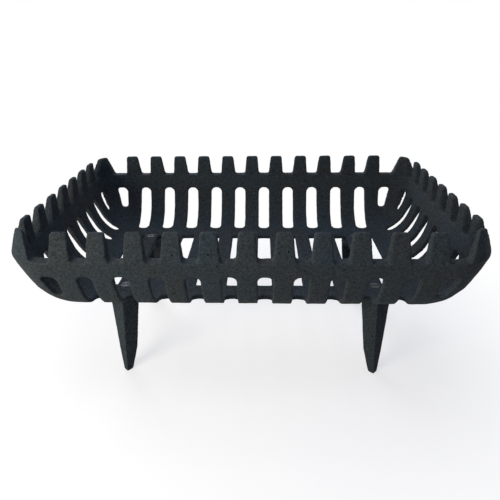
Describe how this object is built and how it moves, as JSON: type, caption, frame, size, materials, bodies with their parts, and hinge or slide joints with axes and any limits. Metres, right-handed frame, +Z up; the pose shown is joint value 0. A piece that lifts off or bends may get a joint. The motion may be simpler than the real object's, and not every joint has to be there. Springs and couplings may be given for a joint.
{
  "type": "log grate",
  "caption": "Rectangular cast iron fire basket for burning logs: one casting of curved bars with a battlemented rim, on tapered angle legs screwed up to its floor.",
  "frame": {"origin": "on the hearth, under the middle of the basket", "axes": "+X along the long front towards the right leg, +Y from the front to the back, +Z up"},
  "size_m": [0.463, 0.31, 0.1963],
  "materials": {
    "cast_iron": "sand cast, thin matt black grate paint",
    "painted_steel": "steel, matt black grate paint"
  },
  "bodies": {
    "root": {"basket": "cast_iron", "leg_front_left": "cast_iron", "leg_front_right": "cast_iron", "leg_back_left": "cast_iron", "leg_back_right": "cast_iron", "leg_screw_front_left": "painted_steel", "leg_washer_front_left": "painted_steel", "leg_nut_front_left": "painted_steel", "leg_screw_front_right": "painted_steel", "leg_washer_front_right": "painted_steel", "leg_nut_front_right": "painted_steel", "leg_screw_back_left": "painted_steel", "leg_washer_back_left": "painted_steel", "leg_nut_back_left": "painted_steel", "leg_screw_back_right": "painted_steel", "leg_washer_back_right": "painted_steel", "leg_nut_back_right": "painted_steel"}
  },
  "joints": []
}
